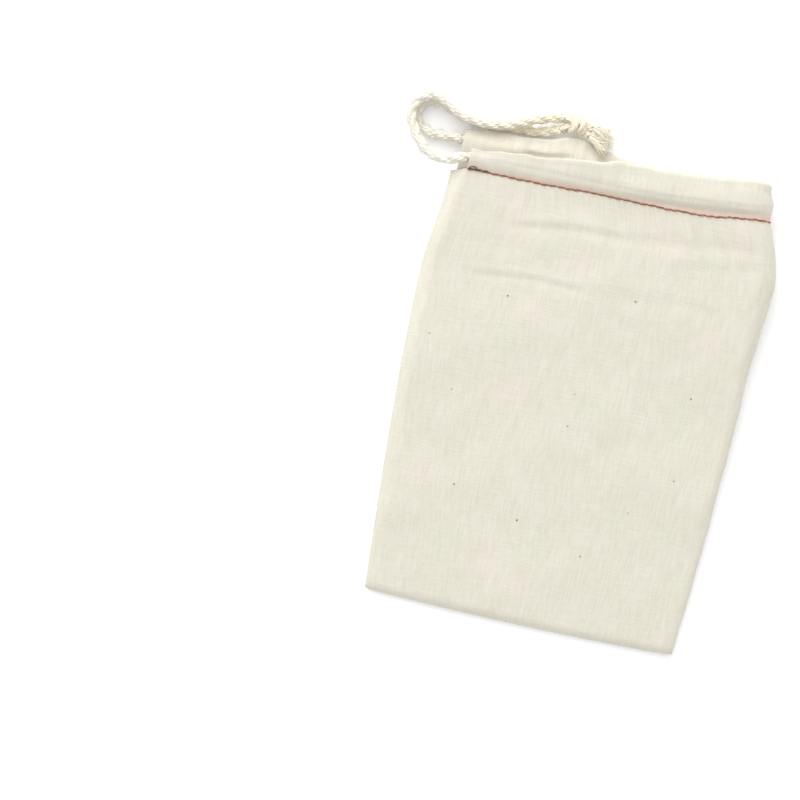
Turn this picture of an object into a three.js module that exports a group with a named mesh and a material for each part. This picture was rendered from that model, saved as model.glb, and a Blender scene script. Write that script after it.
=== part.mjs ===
// A small drawstring bag of natural cotton muslin, empty and lying flat on its back panel.
// Millimetres. +X is the width, to the right, where the cloth is folded. +Y runs from the bottom
// seam to the mouth. +Z is up. The origin is at the centre of the cloth's box, on the surface
// that the bag lies on.
//
// The cloth is one piece folded round the right-hand side. It is sewn along the left side and
// the bottom with the seam allowances inside. A hem at the mouth makes one long channel, from the
// left end of the front, round the right-hand fold, to the left end of the back. One cord runs
// through it, comes out at both left ends, loops back over the mouth and is tied in a knot.

import * as THREE from "three";

// ---- driving dimensions ----

const BAG_LENGTH = 150.4;       // bottom seam to the highest point of the hem
const CLOTH = 0.45;             // one layer of muslin
const GAP = 0.3;                // clearance between pieces that touch
const CORD_DIAMETER = 3.2;      // three-ply cotton cord
const THREAD_DIAMETER = 0.4;    // sewing thread of the hem
const OVERLOCK_DIAMETER = 0.5;  // looped thread on the raw edges inside
const MOUTH_GAP = 4.4;          // height of the opening between the two hems

// Half the width of the bag at some heights from the bottom: it is fullest below the hem.
const HALF_WIDTHS = [[0, 49.2], [35, 51.7], [75, 53.8], [108, 54.75], [124, 53.6], [134, 51.2]];
const BOTTOM_BOW = 0.9;         // how far the bottom seam bows down at its middle

// Height of the hem's top fold above its stitching, from the left end to the right-hand fold.
const FRONT_HEM_HEIGHTS = [[-46, 5.3], [-30, 7.1], [-16, 8.4], [-4, 10.4], [6, 12.1], [43, 13.6]];
const BACK_HEM_HEIGHTS = [
  [-49, 11.3], [-37, 13.0], [-29, 13.3], [-22, 14.2], [-14, 15.5], [6, 12.6], [43, 13.6],
];

// Height of the cord inside the front of the hem. It climbs a little towards the fold.
const FRONT_RUN_HEIGHTS = [[-46, 62.4], [-8, 62.4], [6, 62.4], [14, 62.6], [22, 63.3], [43, 65.4]];

const STITCH_Y = 59.6;          // the red line of stitching under the hem
const FOLD_X = 43;              // where the hem starts to turn round the right-hand fold
const SEAM_RISE = 1.8;          // fullness of the cloth over the seam allowances
const SIDE_ROUND = 7;           // how far in from the sides the front panel reaches its height
const BOTTOM_ROUND = 5;         // the same at the bottom
const ALLOWANCE_WIDTH = 5.5;    // seam allowance, two layers of cloth
const ALLOWANCE_INSET = 2.5;    // its distance from the edge of the bag
const BACK_RISE_LENGTH = 8;     // the back panel lifts to the hem over this length
const LEAST_STRAIGHT = 1;       // straight part of the channel's section, before it is stretched
const LEFT_ALLOWANCE_START = 6; // distance of the left allowance from the bottom seam
const LEFT_ALLOWANCE_STOP = 15; // and from the stitching under the hem
const OVERLOCK_STOP = 1;        // how far the bottom looped thread stops short of the left one

// Fineness of the shapes: sides round a cord or a thread, and steps along each piece.
const CORD_SIDES = 8;
const THREAD_SIDES = 6;
const PANEL_COLUMNS = 16;
const PANEL_ROWS = 14;
const HEM_STEPS = 12;
const TURN_STEPS = 8;
const RUN_STEPS = 16;
const STITCHING_STEPS = 24;
const TAIL_STEPS = 22;
const ALLOWANCE_STEPS = 10;

// Centre lines of the two free ends of the cord, from the hem to the knot.
const FRONT_TAIL = [
  [-46.3, 62.4, 11.4], [-47.8, 62.2, 11.3], [-50.5, 61.1, 10.8], [-53.8, 60.4, 9.7], [-57.4, 61.1, 8.2],
  [-61.3, 63.7, 6.6], [-64.7, 67.9, 5.5], [-66.7, 73.0, 5.1], [-65.2, 77.5, 5.1], [-61.2, 79.5, 5.1],
  [-57.0, 78.4, 5.1], [-52.8, 75.9, 5.2], [-48.0, 74.5, 5.3], [-42.8, 74.1, 5.3], [-37.6, 74.8, 5.3],
  [-32.4, 76.7, 5.2], [-26.6, 79.3, 4.4], [-20.1, 81.1, 3.4],
];
const BACK_TAIL = [
  [-49.3, 68.2, 2.35], [-53.0, 68.0, 2.0], [-56.6, 67.8, 1.7], [-60.2, 67.9, 1.65], [-63.5, 69.5, 1.65],
  [-64.9, 73.0, 1.65], [-63.5, 76.5, 1.65], [-60.0, 78.0, 1.65], [-56.0, 77.4, 1.65], [-52.2, 75.8, 1.65],
  [-48.2, 74.5, 1.65], [-43.6, 74.1, 1.65], [-38.0, 74.55, 1.65], [-32.4, 75.05, 1.65], [-26.4, 75.3, 1.7],
  [-20.1, 77.2, 2.6],
];
const KNOT_CENTRE = [-15.4, 79.9, 3.5];
const KNOT_SIZE = [8.8, 8.0, 6.6];
const TIPS = {                  // frayed ends beyond the knot: where each starts and stops
  drawstring_front_tip: [[-10.7, 80.3, 3.6], [-3.1, 76.9, 3.4]],
  drawstring_back_tip: [[-11.1, 77.4, 3.6], [-4.6, 74.4, 6.5]],
};
const TIP_START_RADIUS = 1.3;
const TIP_END_RADIUS = 1.55;

// ---- derived sizes ----

const CHANNEL_RADIUS = CORD_DIAMETER / 2 + GAP;
const HEM_RADIUS = CHANNEL_RADIUS + CLOTH;
const BACK_Z = HEM_RADIUS;
const FRONT_Z = 3 * HEM_RADIUS + MOUTH_GAP;
const FOLD_RADIUS = (FRONT_Z - BACK_Z) / 2;
const FOLD_Z = (FRONT_Z + BACK_Z) / 2;
const QUARTER_TURN = FOLD_RADIUS * Math.PI / 2;
const BOTTOM_Y = -BAG_LENGTH / 2;
const HEM_Y = STITCH_Y + THREAD_DIAMETER / 2 + GAP;
const PANEL_TOP_Y = STITCH_Y - THREAD_DIAMETER / 2 - GAP;
const PANEL_LENGTH = PANEL_TOP_Y - BOTTOM_Y;
const BACK_RUN_Y = BACK_TAIL[0][1];
const FRONT_HEM_LEFT = FRONT_HEM_HEIGHTS[0][0];
const BACK_HEM_LEFT = BACK_HEM_HEIGHTS[0][0];

// ---- materials ----

const cotton = (color) => new THREE.MeshStandardMaterial({ color, roughness: 0.95, metalness: 0 });
const MUSLIN = cotton(0xe9e4d6);
const SEAM_MUSLIN = cotton(0xe4dfd0);
const RED_THREAD = cotton(0xa8382f);
const NATURAL_THREAD = cotton(0xeee9dc);
const CORD = cotton(0xe6dfc9);
const FRAYED_CORD = cotton(0xe9e3d0);

// ---- helpers ----

// Smooth value at x on the curve through [x, value] points.
function along(points, x) {
  const curve = new THREE.SplineCurve(points.map(([px, value]) => new THREE.Vector2(px, value)));
  let low = 0;
  let high = 1;
  for (let i = 0; i < 30; i += 1) {
    const middle = (low + high) / 2;
    if (curve.getPoint(middle).x < x) low = middle;
    else high = middle;
  }
  return curve.getPoint((low + high) / 2).y;
}

// Moves every vertex of a geometry by a function of its place.
function reshape(geometry, move) {
  const position = geometry.attributes.position;
  const vertex = new THREE.Vector3();
  for (let i = 0; i < position.count; i += 1) {
    vertex.fromBufferAttribute(position, i);
    position.setXYZ(i, ...move(vertex.x, vertex.y, vertex.z));
  }
  geometry.computeVertexNormals();
  return geometry;
}

// A sheet of cloth: place(u, v, side) takes u from -1 to 1, v from 0 to 1, and side 0 or 1.
function sheet(columns, rows, place) {
  const geometry = new THREE.BoxGeometry(2, 1, 1, columns, rows, 1);
  return reshape(geometry, (x, y, z) => place(x, y + 0.5, z + 0.5));
}

// A round cord or thread along a curve, with flat ends.
function tube(curve, diameter, sides, steps) {
  const section = new THREE.Shape();
  for (let i = 0; i < sides; i += 1) {
    const angle = 2 * Math.PI * i / sides;
    const point = [Math.cos(angle) * diameter / 2, Math.sin(angle) * diameter / 2];
    if (i === 0) section.moveTo(...point);
    else section.lineTo(...point);
  }
  section.closePath();
  return new THREE.ExtrudeGeometry(section, { steps, bevelEnabled: false, extrudePath: curve });
}

const curveThrough = (points) => new THREE.CatmullRomCurve3(points.map((p) => new THREE.Vector3(...p)));

// ---- the shape of the flat bag ----

const halfWidth = (y) => along(HALF_WIDTHS, y - BOTTOM_Y);

// Quarter-round rise from 0 at an edge to 1 at the given distance from it.
function shoulder(distance, reach) {
  const left = 1 - Math.min(Math.max(distance / reach, 0), 1);
  return Math.sqrt(1 - left * left);
}

// Underside of the front panel.
function frontPanelZ(x, y) {
  const length = (y - BOTTOM_Y) / PANEL_LENGTH;
  const edgeZ = CLOTH + GAP;
  const hemZ = FRONT_Z - CLOTH / 2;
  const rise = SEAM_RISE + (hemZ - edgeZ - SEAM_RISE) * length;
  const sides = shoulder(halfWidth(y) - Math.abs(x), SIDE_ROUND);
  return edgeZ + rise * sides * shoulder(y - BOTTOM_Y, BOTTOM_ROUND);
}

// Underside of the back panel: flat, then lifting to the middle of the hem.
function backPanelZ(x, y) {
  const t = Math.max(0, 1 - (PANEL_TOP_Y - y) / BACK_RISE_LENGTH);
  const sides = shoulder(halfWidth(y) - Math.abs(x), SIDE_ROUND);
  return (BACK_Z - CLOTH / 2) * t * t * (3 - 2 * t) * sides;
}

// A place on either panel. Columns and rows close up towards the edges.
function panelPlace(u, v) {
  const y = BOTTOM_Y + PANEL_LENGTH * (1 - Math.cos(v * Math.PI)) / 2;
  const x = halfWidth(y) * Math.sin(u * Math.PI / 2);
  const bow = BOTTOM_BOW * (1 - v) * (x / halfWidth(y)) ** 2;
  return [x, y + bow];
}

function frontPanel() {
  return sheet(PANEL_COLUMNS, PANEL_ROWS, (u, v, side) => {
    const [x, y] = panelPlace(u, v);
    return [x, y, frontPanelZ(x, y) + side * CLOTH];
  });
}

function backPanel() {
  return sheet(PANEL_COLUMNS, PANEL_ROWS, (u, v, side) => {
    const [x, y] = panelPlace(u, v);
    return [x, y, backPanelZ(x, y) + side * CLOTH];
  });
}

// ---- the hem: one channel that runs along the front, round the fold and along the back ----

// A place in the hem. s is the distance along it from the middle of the fold, positive to the
// front; out is the distance outwards from the middle of the channel.
function hemPlace(s, y, out) {
  const angle = THREE.MathUtils.clamp(s / FOLD_RADIUS, -Math.PI / 2, Math.PI / 2);
  const straight = Math.max(Math.abs(s) - QUARTER_TURN, 0);
  const radius = FOLD_RADIUS + out;
  return [FOLD_X + radius * Math.cos(angle) - straight, y, FOLD_Z + radius * Math.sin(angle)];
}

const frontS = (x) => QUARTER_TURN + FOLD_X - x;
const backS = (x) => -frontS(x);

// Section of the channel, drawn at its least height and stretched to the height of the fold.
function channelSection() {
  const ring = (path, radius) => {
    path.absarc(0, 0, radius, -Math.PI / 2, Math.PI / 2, false);
    path.absarc(-LEAST_STRAIGHT, 0, radius, Math.PI / 2, 1.5 * Math.PI, false);
    path.closePath();
    return path;
  };
  const section = ring(new THREE.Shape(), HEM_RADIUS);
  section.holes.push(ring(new THREE.Path(), CHANNEL_RADIUS));
  return section;
}

// One stretch of the hem, from s = first to s = last.
function hemPiece(first, last, heights, steps) {
  const options = { depth: last - first, steps, curveSegments: 8, bevelEnabled: false };
  const geometry = new THREE.ExtrudeGeometry(channelSection(), options);
  return reshape(geometry, (x, y, z) => {
    const s = first + z;
    const alongX = FOLD_X - Math.max(Math.abs(s) - QUARTER_TURN, 0);
    const top = STITCH_Y + along(heights, alongX);
    const bottom = HEM_Y + HEM_RADIUS + LEAST_STRAIGHT;
    const height = x > -LEAST_STRAIGHT / 2 ? top - HEM_RADIUS + x : bottom + x;
    return hemPlace(s, height, -y);
  });
}

function backCasing() {
  return hemPiece(backS(BACK_HEM_LEFT), backS(FOLD_X) - GAP, BACK_HEM_HEIGHTS, HEM_STEPS);
}

function foldCasing() {
  return hemPiece(-QUARTER_TURN, QUARTER_TURN, FRONT_HEM_HEIGHTS, TURN_STEPS);
}

function frontCasing() {
  return hemPiece(frontS(FOLD_X) + GAP, frontS(FRONT_HEM_LEFT), FRONT_HEM_HEIGHTS, HEM_STEPS);
}

// A line that follows the hem at the height given by yAt.
class HemLine extends THREE.Curve {
  constructor(first, last, yAt) {
    super();
    Object.assign(this, { first, last, yAt });
  }

  getPoint(t) {
    const s = this.first + (this.last - this.first) * t;
    return new THREE.Vector3(...hemPlace(s, this.yAt(s), 0));
  }
}

// The stitching that closes the bottom of the channel.
function hemStitching(first, last) {
  return tube(new HemLine(first, last, () => STITCH_Y), THREAD_DIAMETER, THREAD_SIDES, STITCHING_STEPS);
}

// ---- seam allowances inside the bag ----

const EDGE_IN = ALLOWANCE_INSET + ALLOWANCE_WIDTH;
const ALLOWANCE_Z = CLOTH + GAP;
const LEFT_ALLOWANCE = [BOTTOM_Y + LEFT_ALLOWANCE_START, STITCH_Y - LEFT_ALLOWANCE_STOP];

function leftAllowance() {
  const [low, high] = LEFT_ALLOWANCE;
  return sheet(1, ALLOWANCE_STEPS, (u, v, side) => {
    const y = low + (high - low) * v;
    const inwards = ALLOWANCE_INSET + ALLOWANCE_WIDTH * (u + 1) / 2;
    return [inwards - halfWidth(y), y, ALLOWANCE_Z + side * 2 * CLOTH];
  });
}

function bottomAllowance() {
  const left = EDGE_IN + GAP + OVERLOCK_DIAMETER + GAP - halfWidth(BOTTOM_Y);
  const right = halfWidth(BOTTOM_Y) - ALLOWANCE_INSET;
  return sheet(ALLOWANCE_STEPS, 1, (u, v, side) => {
    const x = left + (right - left) * (u + 1) / 2;
    const edge = BOTTOM_Y + BOTTOM_BOW * (x / halfWidth(BOTTOM_Y)) ** 2;
    return [x, edge + ALLOWANCE_INSET + ALLOWANCE_WIDTH * v, ALLOWANCE_Z + side * 2 * CLOTH];
  });
}

const RAW_EDGE = EDGE_IN + GAP + OVERLOCK_DIAMETER / 2;

// A looped thread beside an allowance; place takes t from 0 to 1.
function overlock(place) {
  const points = Array.from({ length: ALLOWANCE_STEPS + 1 }, (_, i) => place(i / ALLOWANCE_STEPS));
  return tube(curveThrough(points), OVERLOCK_DIAMETER, THREAD_SIDES, ALLOWANCE_STEPS);
}

function leftOverlock() {
  const [low, high] = LEFT_ALLOWANCE;
  return overlock((t) => {
    const y = low + (high - low) * t;
    return [RAW_EDGE - halfWidth(y), y, ALLOWANCE_Z + CLOTH];
  });
}

function bottomOverlock() {
  const reach = halfWidth(BOTTOM_Y) - RAW_EDGE - OVERLOCK_STOP;
  return overlock((t) => {
    const x = reach * (2 * t - 1);
    const edge = BOTTOM_Y + BOTTOM_BOW * (x / halfWidth(BOTTOM_Y)) ** 2;
    return [x, edge + RAW_EDGE, ALLOWANCE_Z + CLOTH];
  });
}

// ---- the cord ----

// The run along the front, from the hem's left end to the fold.
function frontRun() {
  const yAt = (s) => along(FRONT_RUN_HEIGHTS, FOLD_X + QUARTER_TURN - s);
  const line = new HemLine(frontS(FRONT_HEM_LEFT), frontS(FOLD_X) + GAP, yAt);
  return tube(line, CORD_DIAMETER, CORD_SIDES, RUN_STEPS);
}

// The run along the back is straight.
function backRun() {
  const line = new HemLine(backS(FOLD_X) - GAP, backS(BACK_HEM_LEFT), () => BACK_RUN_Y);
  return tube(line, CORD_DIAMETER, CORD_SIDES, 1);
}

// The turn inside the fold, where the cord also goes from one run's height to the other's.
function bight() {
  const frontY = along(FRONT_RUN_HEIGHTS, FOLD_X);
  const share = (s) => THREE.MathUtils.smoothstep(s, -QUARTER_TURN, QUARTER_TURN);
  const yAt = (s) => BACK_RUN_Y + (frontY - BACK_RUN_Y) * share(s);
  return tube(new HemLine(-QUARTER_TURN, QUARTER_TURN, yAt), CORD_DIAMETER, CORD_SIDES, TURN_STEPS);
}

function tail(points) {
  return tube(curveThrough(points), CORD_DIAMETER, CORD_SIDES, TAIL_STEPS);
}

function knot() {
  const geometry = new THREE.SphereGeometry(0.5, 14, 10);
  return reshape(geometry, (x, y, z) => [x, y, z].map((value, i) => KNOT_CENTRE[i] + value * KNOT_SIZE[i]));
}

// A frayed end: a short cone that opens away from the knot.
function tip([start, end]) {
  const from = new THREE.Vector3(...start);
  const to = new THREE.Vector3(...end);
  const length = from.distanceTo(to);
  const profile = [[0, 0], [TIP_START_RADIUS, 0], [TIP_END_RADIUS, length], [0, length]];
  const geometry = new THREE.LatheGeometry(profile.map(([r, h]) => new THREE.Vector2(r, h)), CORD_SIDES);
  const up = new THREE.Vector3(0, 1, 0);
  geometry.applyQuaternion(new THREE.Quaternion().setFromUnitVectors(up, to.clone().sub(from).normalize()));
  return geometry.translate(...start);
}

// ---- assembly ----

const model = new THREE.Group();

function add(name, geometry, material, parent) {
  const mesh = new THREE.Mesh(geometry, material);
  mesh.name = name;
  parent.add(mesh);
}

const bag = new THREE.Group();
const drawstring = new THREE.Group();
model.add(bag, drawstring);

add("back_panel", backPanel(), MUSLIN, bag);
add("front_panel", frontPanel(), MUSLIN, bag);
add("back_casing", backCasing(), MUSLIN, bag);
add("fold_casing", foldCasing(), MUSLIN, bag);
add("front_casing", frontCasing(), MUSLIN, bag);
add("front_hem_stitching", hemStitching(GAP / 2, frontS(FRONT_HEM_LEFT)), RED_THREAD, bag);
add("back_hem_stitching", hemStitching(backS(BACK_HEM_LEFT), -GAP / 2), RED_THREAD, bag);

add("left_seam_allowance", leftAllowance(), SEAM_MUSLIN, bag);
add("bottom_seam_allowance", bottomAllowance(), SEAM_MUSLIN, bag);
add("left_seam_overlock", leftOverlock(), NATURAL_THREAD, bag);
add("bottom_seam_overlock", bottomOverlock(), NATURAL_THREAD, bag);

add("drawstring_front_run", frontRun(), CORD, drawstring);
add("drawstring_back_run", backRun(), CORD, drawstring);
add("drawstring_bight", bight(), CORD, drawstring);
add("drawstring_front_tail", tail(FRONT_TAIL), CORD, drawstring);
add("drawstring_back_tail", tail(BACK_TAIL), CORD, drawstring);
add("drawstring_knot", knot(), CORD, drawstring);
for (const [name, ends] of Object.entries(TIPS)) add(name, tip(ends), FRAYED_CORD, drawstring);

export default model;
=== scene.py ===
"""A small drawstring bag of natural cotton muslin, empty and lying flat on its back panel.

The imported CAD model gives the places. This script dresses it: woven cloth for the body and the
hem, red lockstitches under the hem, sewn and overlocked seam allowances inside, and one three-ply
cotton cord that runs through the hem, out of both left ends, and into a knot with frayed ends.
Shapes are worked out in millimetres, and become metres when a mesh is made.
"""

import math

import bpy
import numpy as np
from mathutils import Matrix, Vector


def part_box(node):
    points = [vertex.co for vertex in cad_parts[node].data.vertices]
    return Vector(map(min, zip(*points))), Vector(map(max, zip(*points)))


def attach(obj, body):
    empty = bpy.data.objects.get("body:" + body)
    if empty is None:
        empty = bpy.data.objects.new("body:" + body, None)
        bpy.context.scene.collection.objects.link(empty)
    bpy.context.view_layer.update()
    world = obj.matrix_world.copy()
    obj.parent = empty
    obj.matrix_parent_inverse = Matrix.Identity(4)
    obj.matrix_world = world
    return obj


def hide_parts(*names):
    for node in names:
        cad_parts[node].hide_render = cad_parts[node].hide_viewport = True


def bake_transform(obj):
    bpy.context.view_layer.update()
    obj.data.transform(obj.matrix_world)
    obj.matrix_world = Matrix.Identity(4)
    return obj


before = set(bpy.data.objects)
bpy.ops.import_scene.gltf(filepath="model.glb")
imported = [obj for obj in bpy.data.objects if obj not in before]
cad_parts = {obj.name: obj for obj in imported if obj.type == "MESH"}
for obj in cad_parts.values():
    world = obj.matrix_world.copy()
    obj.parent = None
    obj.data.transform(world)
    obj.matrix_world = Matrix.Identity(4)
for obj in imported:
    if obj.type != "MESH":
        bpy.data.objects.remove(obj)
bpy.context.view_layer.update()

MM = 0.001


def corners_mm(node):
    """Lowest and highest corner of a CAD node."""
    low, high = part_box(node)
    return np.array(low) / MM, np.array(high) / MM


def middle_mm(node):
    """Middle of a CAD node's box."""
    low, high = corners_mm(node)
    return (low + high) / 2


# ---- measures from the frame ----

BOTTOM_REACH = 1.4              # how far the limp cloth reaches beyond its CAD solid at the bottom
BAG_BOTTOM = corners_mm("front_panel")[0][1] - BOTTOM_REACH
FRONT_HEM_LEFT = corners_mm("front_casing")[0][0]
BACK_HEM_LEFT = corners_mm("back_casing")[0][0]
FRONT_RUN = middle_mm("drawstring_front_run")
BACK_RUN = middle_mm("drawstring_back_run")
STITCH_HEIGHT = middle_mm("front_hem_stitching")[1]
FOLD_X = corners_mm("drawstring_bight")[0][0]      # where the hem starts to turn
FOLD_RADIUS = (FRONT_RUN[2] - BACK_RUN[2]) / 2     # of the turn, at the middle of the hem
FOLD_Z = (FRONT_RUN[2] + BACK_RUN[2]) / 2
QUARTER_TURN = FOLD_RADIUS * math.pi / 2

# ---- measures of the cloth and the cord ----

CLOTH = 0.45                    # one layer of muslin
FLOOR_GAP = 0.03                # between the cloth and the surface that it lies on
CORD_LAY = 14.0                 # length of one turn of the cord's three plies
PINCH = 0.47                    # height of the hem's cloth beside the stitches, from its middle
COVER = 2.3                     # the same over the cord

# Half the width of the bag at some heights from the bottom.
HALF_WIDTHS = [(0, 49.2), (35, 51.4), (75, 53.2), (95, 53.6), (113, 54.1), (125, 53.0), (132, 51.6),
               (137, 50.4)]
BOTTOM_BOW = 0.9                # how far the bottom seam bows down at its middle
CORNER_CUT = 0.7                # how far the bottom corners are rounded off

# Heights in the hem at some places across the bag.
STITCH_LINE = [(-52, 56.6), (-49.5, 57.8), (-46.5, 58.5), (-35, 58.8), (-19, 59.1), (-8, 59.6),
               (10, 59.7), (25, 60.0), (33, 60.6), (37.5, 61.4), (43, 62.1), (47.6, 62.7)]
FRONT_TOP = [(-46, 64.9), (-38, 65.7), (-30, 66.7), (-23, 67.0), (-16, 68.2), (-10, 68.9), (-4, 70.0),
             (3, 71.3), (11, 71.5), (20, 72.1), (28, 72.7), (36, 73.7), (43, 74.6), (47.6, 74.1)]
BACK_TOP = [(-49, 71.2), (-44, 72.1), (-38, 72.7), (-30, 73.0), (-22, 74.0), (-18, 75.5), (-14, 76.3),
            (-10, 75.5), (-6, 74.0), (0, 73.0), (6, 72.2), (15, 71.7), (28, 72.1), (43, 74.5), (47.6, 74.1)]
CORD_LINE = [(-46, 62.4), (-8, 62.4), (6, 62.4), (14, 62.6), (22, 63.3), (43, 65.4)]

# The cord's free ends, from the hem to the knot.
FRONT_TAIL = [
    (-46.3, 62.4, 11.4), (-47.8, 62.2, 11.3), (-50.5, 61.1, 10.8), (-53.8, 60.4, 9.7),
    (-57.4, 61.1, 8.2), (-61.3, 63.7, 6.6), (-64.7, 67.9, 5.5), (-66.7, 73.0, 5.1),
    (-65.2, 77.5, 5.1), (-61.2, 79.5, 5.1), (-57.0, 78.4, 5.1), (-52.8, 75.9, 5.2),
    (-48.0, 74.5, 5.3), (-42.8, 74.1, 5.3), (-37.6, 74.8, 5.3), (-32.4, 76.7, 5.2),
    (-26.6, 79.3, 4.4), (-20.1, 81.1, 3.4),
]
BACK_TAIL = [
    (-49.3, 68.2, 2.35), (-53.0, 68.0, 2.0), (-56.6, 67.8, 1.7), (-60.2, 67.9, 1.65),
    (-63.5, 69.5, 1.65), (-64.9, 73.0, 1.65), (-63.5, 76.5, 1.65), (-60.0, 78.0, 1.65),
    (-56.0, 77.4, 1.65), (-52.2, 75.8, 1.65), (-48.2, 74.5, 1.65), (-43.6, 74.1, 1.65),
    (-38.0, 74.55, 1.65), (-32.4, 75.05, 1.65), (-26.4, 75.3, 1.7), (-20.1, 77.2, 2.6),
]

# Soft creases pressed into the front: start, end, width and depth.
CREASES = [
    ((-42, 28.0), (0, 29.9), 1.3, 0.34),
    ((-6, 29.6), (44, 31.5), 2.6, 0.18),
    ((-34, 44.8), (10, 48.6), 1.7, 0.34),
    ((0, 47.8), (52, 53.0), 2.6, 0.30),
    ((-46, 52.8), (4, 54.0), 2.2, 0.16),
    ((14, 42.0), (53, 47.5), 2.2, 0.13),
    ((-50, 38.0), (-8, 36.5), 3.0, 0.10),
    ((8, -20.0), (40, -8.0), 4.0, 0.08),
    ((-44, -52.0), (-10, -60.0), 4.0, 0.08),
]
# Dark bits of seed husk in the cloth: place and size.
HUSKS = [(-25.2, 23.1, 0.42), (14.0, 29.7, 0.46), (1.8, -12.6, 0.34), (-7.3, -44.6, 0.46),
         (14.4, -51.4, 0.36), (37.5, 3.9, 0.36), (37.8, -22.3, 0.32), (1.8, -2.3, 0.26),
         (-28.9, -37.8, 0.40), (-46.5, 6.5, 0.30), (26.0, -35.0, 0.26), (-36.0, -9.0, 0.28)]


# ---- curves and noise ----

def value_at(points, x):
    """Smooth value at x on the curve through (x, value) points."""
    px, pv = np.array(points, float).T
    slope = np.gradient(pv, px)
    i = np.clip(np.searchsorted(px, x) - 1, 0, len(px) - 2)
    span = px[i + 1] - px[i]
    t = np.clip((x - px[i]) / span, 0, 1)
    start = (1 + 2 * t) * (1 - t) ** 2 * pv[i] + t * (1 - t) ** 2 * span * slope[i]
    end = t * t * (3 - 2 * t) * pv[i + 1] + t * t * (t - 1) * span * slope[i + 1]
    return start + end


def smooth(x):
    """0 below 0, 1 above 1, and a smooth step between."""
    t = np.clip(x, 0, 1)
    return t * t * (3 - 2 * t)


def shoulder(x):
    """Quarter-round rise from 0 at x = 0 to 1 at x = 1."""
    return np.sqrt(1 - (1 - np.clip(x, 0, 1)) ** 2)


def hump(x):
    """A bell, 1 at the middle."""
    return np.exp(-x * x)


def ripple(x, y, length, seed, stretch=(1, 1), waves=9):
    """Smooth wandering of about that wavelength, from -1 to 1 most of the time."""
    rng = np.random.default_rng(seed)
    total = 0
    for _ in range(waves):
        angle, phase = rng.uniform(0, 2 * math.pi, 2)
        scale = 2 * math.pi / (length * rng.uniform(0.7, 1.5))
        along = x * math.cos(angle) / stretch[0] + y * math.sin(angle) / stretch[1]
        total = total + np.sin(along * scale + phase)
    return total / math.sqrt(waves) / 1.2


def crease_depth(x, y):
    """Height of the pressed creases: a groove with a low ridge beside it."""
    total = 0
    for start, end, width, depth in CREASES:
        a, b = np.array(start, float), np.array(end, float)
        direction = (b - a) / np.linalg.norm(b - a)
        along = (x - a[0]) * direction[0] + (y - a[1]) * direction[1]
        across = (y - a[1]) * direction[0] - (x - a[0]) * direction[1]
        share = along / np.linalg.norm(b - a)
        across = across + 0.5 * np.sin(share * 7 + depth * 40)
        ends = smooth(share * 5) * smooth((1 - share) * 5)
        groove = 0.7 * hump((across - 1.1 * width) / width) - hump(across / width)
        total = total + depth * ends * groove
    return total


# ---- meshes ----

def make_mesh(name, vertices, faces, uv):
    """A smooth-shaded object from vertices in millimetres, with one uv place for each vertex."""
    mesh = bpy.data.meshes.new(name)
    mesh.from_pydata((vertices * MM).tolist(), [], faces)
    layer = mesh.uv_layers.new(name="flat_cloth")
    corner = np.zeros(len(mesh.loops), np.int32)
    mesh.loops.foreach_get("vertex_index", corner)
    layer.data.foreach_set("uv", uv.astype(np.float32)[corner].ravel())
    mesh.polygons.foreach_set("use_smooth", np.ones(len(mesh.polygons), bool))
    obj = bpy.data.objects.new(name, mesh)
    bpy.context.scene.collection.objects.link(obj)
    return obj


def set_values(obj, name, values):
    """Stores one number for each vertex, for the material to read."""
    layer = obj.data.attributes.new(name, "FLOAT", "POINT")
    layer.data.foreach_set("value", np.asarray(values, np.float32).ravel())


def grid_normals(grid):
    """Unit normals of a grid of points."""
    along = np.gradient(grid, axis=0)
    across = np.gradient(grid, axis=1)
    normal = np.cross(along, across)
    return normal / np.maximum(np.linalg.norm(normal, axis=-1, keepdims=True), 1e-9)


def grid_faces(rows, columns, offset=0):
    """Quads of a grid stored row by row."""
    i, j = np.meshgrid(np.arange(rows - 1), np.arange(columns - 1), indexing="ij")
    a = (i * columns + j).ravel() + offset
    return np.stack([a, a + columns, a + columns + 1, a + 1], axis=1)


def sheet_of_cloth(name, outer, uv, thickness=CLOTH):
    """A closed sheet: its outer face, the same face moved inwards by the cloth, and four rims."""
    rows, columns = outer.shape[:2]
    inner = outer - grid_normals(outer) * thickness
    vertices = np.concatenate([outer.reshape(-1, 3), inner.reshape(-1, 3)])
    count = rows * columns
    top = grid_faces(rows, columns)
    under = grid_faces(rows, columns, count)[:, ::-1]
    index = np.arange(count).reshape(rows, columns)
    border = np.concatenate([index[0, :-1], index[:-1, -1], index[-1, :0:-1], index[:0:-1, 0]])
    after = np.roll(border, -1)
    rim = np.stack([border, after, after + count, border + count], axis=1)
    flat = uv.reshape(-1, 2)
    faces = np.concatenate([top, under, rim]).tolist()
    return make_mesh(name, vertices, faces, np.concatenate([flat, flat]))


def line_frames(points):
    """Two directions across a line at each of its points, carried along it without twisting."""
    tangent = np.gradient(points, axis=0)
    tangent /= np.linalg.norm(tangent, axis=1, keepdims=True)
    first = np.cross(tangent[0], (0.1, 0.2, 1.0))
    side = np.empty_like(points)
    side[0] = first / np.linalg.norm(first)
    for i in range(1, len(points)):
        carried = side[i - 1] - tangent[i] * np.dot(side[i - 1], tangent[i])
        side[i] = carried / np.linalg.norm(carried)
    return side, np.cross(tangent, side)


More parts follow.
